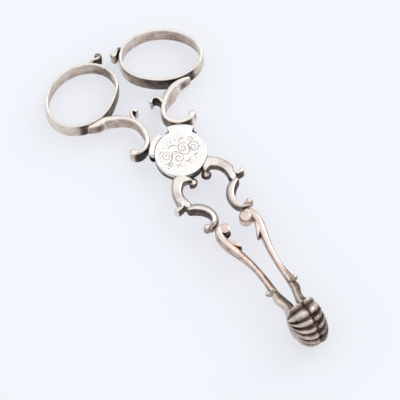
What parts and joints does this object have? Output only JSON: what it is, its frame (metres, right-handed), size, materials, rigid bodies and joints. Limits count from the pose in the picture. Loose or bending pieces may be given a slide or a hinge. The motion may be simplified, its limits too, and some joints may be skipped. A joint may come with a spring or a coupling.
{
  "type": "sugar nips",
  "caption": "Scissor-action sugar nips in silver: finger rings, scroll handles, a lapped round hinge, scrolled arms and ribbed shell bowls that close on a lump of sugar.",
  "frame": {"origin": "centre of the hinge on the flat back face of the hinge, where the rivet head is flush", "axes": "+Z along the hinge axis towards the engraved front face, +Y along the nips towards the finger rings, +X to the right"},
  "size_m": [0.0503, 0.1182, 0.016],
  "materials": {
    "ring_band": "worn polished silver, soft brown tarnish inside the band",
    "handle_silver": "worn polished silver, brown-grey tarnish on the strap sides",
    "hinge_silver": "bright worn silver with fine wear lines",
    "arm_silver": "worn polished silver, dark tarnish in the curls",
    "stem_silver": "smooth polished silver, faintly warm",
    "cast_trim": "worn cast silver, dark tarnish in the corners",
    "shell_silver": "cast silver, bright rib crests and dark grooves"
  },
  "bodies": {
    "front_half": {"front_finger_ring": "ring_band", "front_ring_spur": "cast_trim", "front_handle_scroll": "handle_silver", "front_handle_thorn": "cast_trim", "front_hinge_plate": "hinge_silver", "front_arm_scroll": "arm_silver", "front_lower_scroll": "arm_silver", "front_arm_spur": "cast_trim", "front_scroll_ball": "cast_trim", "front_stem_volute": "arm_silver", "front_stem": "stem_silver", "front_stem_leaf": "cast_trim", "front_knop": "arm_silver", "front_shell_bowl": "shell_silver", "hinge_rivet": "hinge_silver"},
    "back_half": {"back_finger_ring": "ring_band", "back_ring_spur": "cast_trim", "back_handle_scroll": "handle_silver", "back_handle_thorn": "cast_trim", "back_hinge_plate": "hinge_silver", "back_arm_scroll": "arm_silver", "back_lower_scroll": "arm_silver", "back_arm_spur": "cast_trim", "back_scroll_ball": "cast_trim", "back_stem_volute": "arm_silver", "back_stem": "stem_silver", "back_stem_leaf": "cast_trim", "back_knop": "arm_silver", "back_shell_bowl": "shell_silver"}
  },
  "joints": [
    {"name": "hinge", "type": "hinge", "parent": "front_half", "child": "back_half", "pos_m": [0, 0, 0.0017], "axis": [0, 0, 1], "range_deg": [0, 60]}
  ]
}
